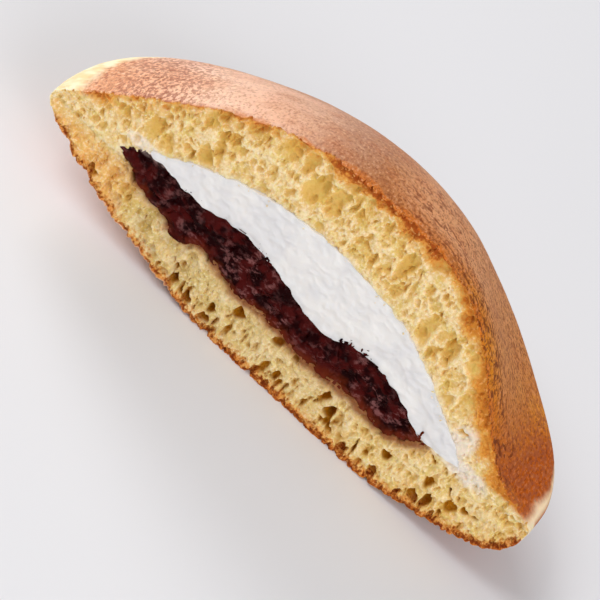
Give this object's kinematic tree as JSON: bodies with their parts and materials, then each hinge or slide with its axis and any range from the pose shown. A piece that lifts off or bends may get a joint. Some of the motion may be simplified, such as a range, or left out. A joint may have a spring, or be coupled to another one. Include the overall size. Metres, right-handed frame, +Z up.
{
  "type": "dorayaki half",
  "caption": "Half of a round filled griddle-cake sandwich, cut straight across and lying on its browned underside, with whipped cream over sweet bean paste showing at the cut.",
  "frame": {"origin": "centre of the bounding box in plan, at the height of the surface it lies on", "axes": "+X along the cut, the cut face looking along -Y, +Z up out of the browned top"},
  "size_m": [0.092, 0.046, 0.0376],
  "materials": {
    "griddle_cake": "soft open yellow crumb with a thin matte browned skin above and below",
    "cream": "smooth whipped cream, satin",
    "bean_paste": "moist lumpy sweet bean paste, dark purple brown, glossy"
  },
  "bodies": {
    "root": {"top_cake": "griddle_cake", "bottom_cake": "griddle_cake", "cream": "cream", "bean_paste": "bean_paste"}
  },
  "joints": []
}
